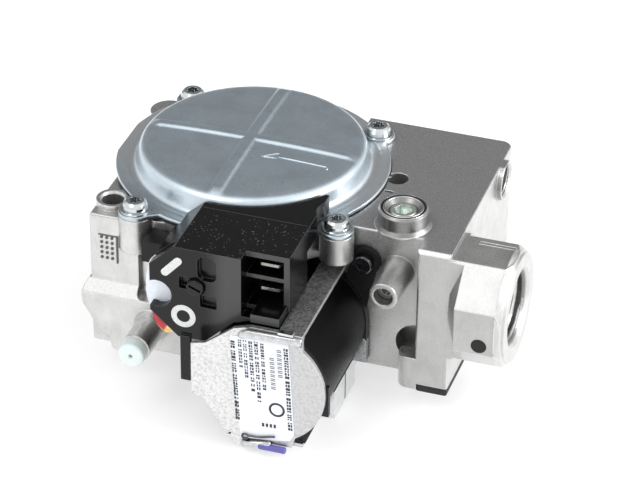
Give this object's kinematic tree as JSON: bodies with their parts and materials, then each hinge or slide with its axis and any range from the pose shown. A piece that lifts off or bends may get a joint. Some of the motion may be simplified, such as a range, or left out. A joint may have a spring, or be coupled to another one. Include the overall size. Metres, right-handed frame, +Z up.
{
  "type": "gas valve",
  "caption": "Combination gas valve with a pressed diaphragm cover, pipe inlet, solenoid shut-off, regulator, pressure tap and an on/off switch cover with two blade terminals.",
  "frame": {"origin": "on the diaphragm axis, in the flat underside of the bottom cover", "axes": "+X points out of the inlet port, +Y to the back away from the solenoid, +Z up along the diaphragm axis"},
  "size_m": [0.1153, 0.0966, 0.0574],
  "materials": {
    "cast_alloy": "satin",
    "zinc_plate": "satin",
    "screw_zinc": "satin",
    "rubber_black": "matte",
    "steel_inner": "satin",
    "spring_steel": "satin",
    "black_plastic": "satin",
    "cover_plastic": "gloss",
    "disc_plastic": "satin",
    "white_plastic": "satin",
    "label_white": "satin",
    "purple_sleeve": "matte",
    "copper_wire": "gloss",
    "bobbin_black": "matte",
    "coil_tape": "satin",
    "tin_blade": "satin",
    "black_screw": "satin",
    "brass_seat": "satin",
    "zinc_green": "satin"
  },
  "bodies": {
    "valve": {"valve_body": "cast_alloy", "diaphragm_cover": "zinc_plate", "cover_screws": "screw_zinc", "main_valve_seat": "brass_seat", "main_valve_spring": "spring_steel", "bottom_gasket": "rubber_black", "bottom_cover": "zinc_plate", "bottom_cover_screws": "screw_zinc", "base_pad": "rubber_black", "inlet_screen": "steel_inner", "regulator_spring": "spring_steel", "regulator_poppet": "steel_inner", "vent_plug": "white_plastic", "solenoid_frame": "zinc_plate", "frame_label": "label_white", "solenoid_bracket": "zinc_plate", "coil_bobbin": "bobbin_black", "coil_winding": "copper_wire", "coil_wrap": "coil_tape", "plunger_tube": "steel_inner", "pole_core": "steel_inner", "shutoff_seat": "brass_seat", "tube_o_ring": "rubber_black", "coil_clip": "black_plastic", "wire_sleeve": "purple_sleeve", "solenoid_screw": "black_screw", "switch_cover": "cover_plastic", "switch_base": "black_plastic", "upper_terminal": "tin_blade", "lower_terminal": "tin_blade"},
    "main_valve": {"main_diaphragm": "rubber_black", "diaphragm_plate": "steel_inner", "lower_clamp_plate": "steel_inner", "main_valve_stem": "steel_inner", "main_valve_disc": "rubber_black"},
    "regulator_seat": {"regulator_spring_seat": "steel_inner"},
    "regulator_screw": {"regulator_adjusting_screw": "zinc_green"},
    "tap_screw": {"pressure_tap_screw": "screw_zinc"},
    "plunger": {"solenoid_plunger": "steel_inner", "shutoff_disc": "rubber_black", "plunger_spring": "spring_steel"},
    "switch": {"switch_knob": "black_plastic", "indicator_disc": "disc_plastic"}
  },
  "joints": [
    {"name": "switch_turn", "type": "hinge", "parent": "valve", "child": "switch", "pos_m": [0.0036, -0.054, 0.0439], "axis": [0, -1, 0], "range_deg": [-30, 30]},
    {"name": "plunger_slide", "type": "slide", "parent": "valve", "child": "plunger", "axis": [0, -1, 0], "range_m": [0, 0.0025], "stiffness_N_per_m": 150, "springref_m": -0.004},
    {"name": "main_valve_lift", "type": "slide", "parent": "valve", "child": "main_valve", "axis": [0, 0, 1], "range_m": [0, 0.0025], "stiffness_N_per_m": 200, "springref_m": -0.005, "deforming": ["main_valve_spring", "main_diaphragm"]},
    {"name": "regulator_seat_slide", "type": "slide", "parent": "valve", "child": "regulator_seat", "axis": [0, 0, 1], "range_m": [-0.001, 0.001], "deforming": ["regulator_spring"]},
    {"name": "regulator_turn", "type": "hinge", "parent": "regulator_seat", "child": "regulator_screw", "pos_m": [0.0462, -0.0156, 0.0485], "axis": [0, 0, 1], "range_deg": [-360, 360]},
    {"name": "tap_screw_turn", "type": "hinge", "parent": "valve", "child": "tap_screw", "pos_m": [0.0467, -0.028, 0.0375], "axis": [0, -1, 0], "range_deg": [0, 360]}
  ],
  "couplings": [
    {"joint": "regulator_turn", "follows": "regulator_seat_slide", "rad_per_m": 6283.2}
  ]
}
